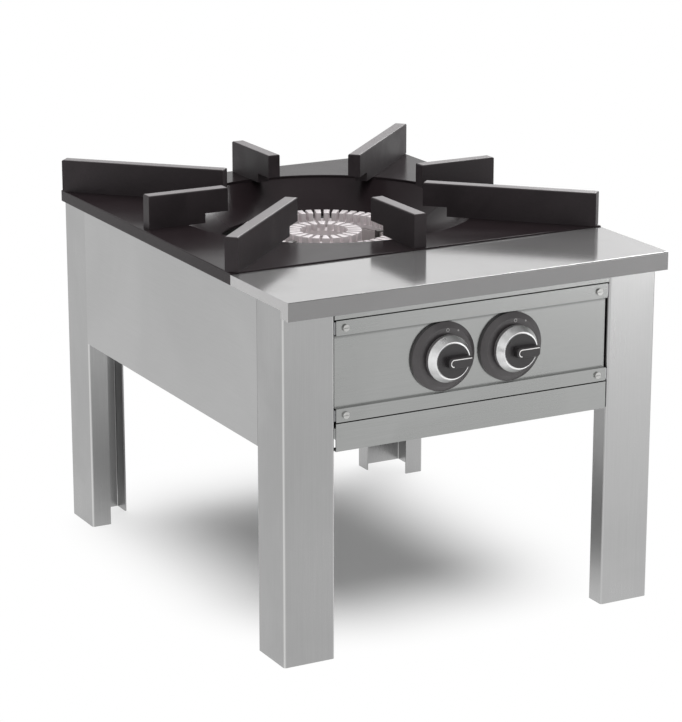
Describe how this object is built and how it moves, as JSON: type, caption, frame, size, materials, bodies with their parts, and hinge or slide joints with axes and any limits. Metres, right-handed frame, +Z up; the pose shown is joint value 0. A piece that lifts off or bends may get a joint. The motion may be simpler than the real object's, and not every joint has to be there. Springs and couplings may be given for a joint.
{
  "type": "stock pot range",
  "caption": "Low gas range on folded sheet legs with a black top, raised radial pan ribs, a double-ring burner, dial knobs and a pull-out drip tray.",
  "frame": {"origin": "on the floor under the middle of the whole range, knobs and gas inlet included", "axes": "+Z up, +Y to the rear, +X to the right seen from the front; the controls face -Y"},
  "size_m": [0.5104, 0.676, 0.4833],
  "materials": {
    "stainless": "fine brushed sheet",
    "bright_steel": "polished sheet",
    "black_enamel": "satin black enamel",
    "cast_ribs": "black enamelled casting",
    "cast_burner": "raw casting",
    "crown_metal": "machined, slightly warm grey",
    "galvanised": "galvanised sheet",
    "black_knob": "fine matt black",
    "black_dial": "satin black with pale marks",
    "bright_ring": "bright metal",
    "brass": "plain brass",
    "steel_pipe": "drawn tube",
    "zinc": "zinc plated",
    "dark_steel": "heat darkened"
  },
  "bodies": {
    "frame": {"air_discs": "zinc", "bezel_left": "black_dial", "bezel_right": "black_dial", "burner_body": "cast_burner", "burner_bolts": "zinc", "burner_rail_front": "galvanised", "burner_rail_rear": "galvanised", "control_panel": "stainless", "flame_sensors": "steel_pipe", "front_deck": "bright_steel", "front_rail": "stainless", "gas_manifold": "steel_pipe", "heat_shield": "galvanised", "injectors": "brass", "inlet_lock_nuts": "zinc", "inlet_nipple": "brass", "leg_front_left": "stainless", "leg_front_right": "stainless", "leg_rear_left": "stainless", "leg_rear_right": "stainless", "manifold_hangers": "galvanised", "mixing_tube_left": "cast_burner", "mixing_tube_right": "cast_burner", "panel_lugs": "galvanised", "panel_screws": "zinc", "pilot_brackets": "galvanised", "pilot_burner_left": "dark_steel", "pilot_burner_right": "dark_steel", "pilot_pipes": "steel_pipe", "pipe_nuts": "brass", "rear_panel": "stainless", "rear_panel_screws": "zinc", "runner_screws": "zinc", "sensor_leads": "steel_pipe", "side_panel_left": "stainless", "side_panel_right": "stainless", "supply_pipes": "steel_pipe", "tap_body_left": "brass", "tap_body_right": "brass", "tap_bonnets": "galvanised", "tap_clamps": "galvanised", "tray_runner_left": "galvanised", "tray_runner_right": "galvanised"},
    "hob_top": {"top_plate": "black_enamel", "pan_ribs_long": "cast_ribs", "pan_ribs_short": "cast_ribs", "rib_screws": "zinc"},
    "outer_burner_crown": {"outer_crown": "crown_metal"},
    "inner_burner_crown": {"inner_crown": "crown_metal"},
    "tray": {"drip_tray": "stainless", "drip_tray_front": "stainless"},
    "plug_left": {"tap_plug_left": "brass"},
    "control_left": {"knob_left": "black_knob", "knob_ring_left": "bright_ring", "spindle_left": "zinc"},
    "plug_right": {"tap_plug_right": "brass"},
    "control_right": {"knob_right": "black_knob", "knob_ring_right": "bright_ring", "spindle_right": "zinc"}
  },
  "joints": [
    {"name": "hob_top_lift", "type": "slide", "parent": "frame", "child": "hob_top", "axis": [0, 0, 1], "range_m": [0, 0.2]},
    {"name": "outer_crown_lift", "type": "slide", "parent": "frame", "child": "outer_burner_crown", "axis": [0, 0, 1], "range_m": [0, 0.1]},
    {"name": "inner_crown_lift", "type": "slide", "parent": "frame", "child": "inner_burner_crown", "axis": [0, 0, 1], "range_m": [0, 0.1]},
    {"name": "drip_tray_pull", "type": "slide", "parent": "frame", "child": "tray", "axis": [0, -1, 0], "range_m": [0, 0.42]},
    {"name": "tap_turn_left", "type": "hinge", "parent": "frame", "child": "plug_left", "pos_m": [-0.0415, -0.276, 0.3455], "axis": [0, -1, 0], "range_deg": [0, 180]},
    {"name": "knob_push_left", "type": "slide", "parent": "plug_left", "child": "control_left", "axis": [0, 1, 0], "range_m": [0, 0.003], "stiffness_N_per_m": 1000, "springref_m": -0.004},
    {"name": "tap_turn_right", "type": "hinge", "parent": "frame", "child": "plug_right", "pos_m": [0.0495, -0.276, 0.3455], "axis": [0, -1, 0], "range_deg": [0, 180]},
    {"name": "knob_push_right", "type": "slide", "parent": "plug_right", "child": "control_right", "axis": [0, 1, 0], "range_m": [0, 0.003], "stiffness_N_per_m": 1000, "springref_m": -0.004}
  ]
}
